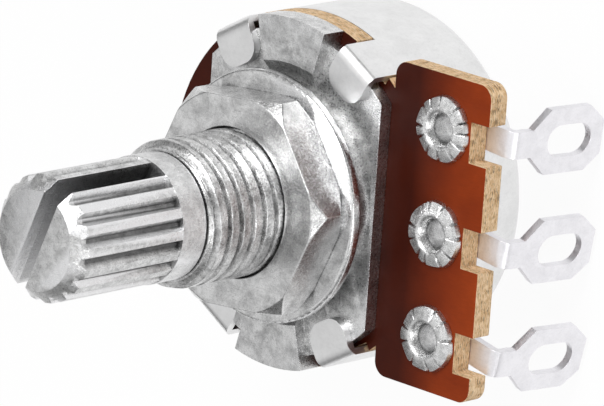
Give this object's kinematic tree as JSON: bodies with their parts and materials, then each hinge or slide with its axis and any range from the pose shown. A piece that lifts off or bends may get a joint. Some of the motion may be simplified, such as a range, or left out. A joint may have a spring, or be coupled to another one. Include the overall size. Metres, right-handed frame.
{
  "type": "rotary potentiometer",
  "caption": "Panel potentiometer with a threaded bushing, hex nut, flat washer, split knurled shaft, phenolic wafer, round metal can and tinned solder lugs.",
  "frame": {"origin": "on the shaft's axis, at the mounting face: the top of the boss round the threaded bushing", "axes": "+Z along the shaft towards its tip, +X towards the solder lugs, Y along the row of lugs"},
  "size_m": [0.0214, 0.0168, 0.0236],
  "materials": {
    "zinc_casting": "die-cast zinc alloy, dull grey, mottled",
    "shaft_metal": "die-cast knurled head, bright edges",
    "spring_steel": "plain spring steel",
    "plated_steel": "nickel-plated steel, satin",
    "phenolic_board": "paper phenolic, orange-brown, satin face",
    "carbon_print": "printed carbon film",
    "silver_print": "printed conductive silver",
    "tinplate": "tinned sheet steel, satin",
    "moulded_rotor": "moulded nylon",
    "spring_brass": "thin spring brass",
    "tinned_brass": "hot-tinned brass, pale"
  },
  "bodies": {
    "housing": {"bushing_plate": "zinc_casting", "rear_cover": "tinplate", "wafer": "phenolic_board", "carbon_track": "carbon_print", "silver_print": "silver_print", "terminal_1": "tinned_brass", "terminal_2": "tinned_brass", "terminal_3": "tinned_brass", "eyelet_1": "tinned_brass", "eyelet_2": "tinned_brass", "eyelet_3": "tinned_brass"},
    "rotor_shaft": {"shaft": "shaft_metal", "retaining_ring": "spring_steel", "rotor": "moulded_rotor", "wiper": "spring_brass"},
    "washer": {"flat_washer": "plated_steel"},
    "nut": {"hex_nut": "plated_steel"}
  },
  "joints": [
    {"name": "shaft_turn", "type": "hinge", "parent": "housing", "child": "rotor_shaft", "pos_m": [0, 0, 0], "axis": [0, 0, 1], "range_deg": [-150, 150]},
    {"name": "washer_slide", "type": "slide", "parent": "housing", "child": "washer", "axis": [0, 0, 1], "range_m": [0, 0.00435]},
    {"name": "nut_turn", "type": "hinge", "parent": "washer", "child": "nut", "pos_m": [0, 0, 0], "axis": [0, 0, 1], "range_deg": [0, 2088.5]}
  ],
  "couplings": [
    {"joint": "nut_turn", "follows": "washer_slide", "rad_per_m": 8377.6}
  ]
}
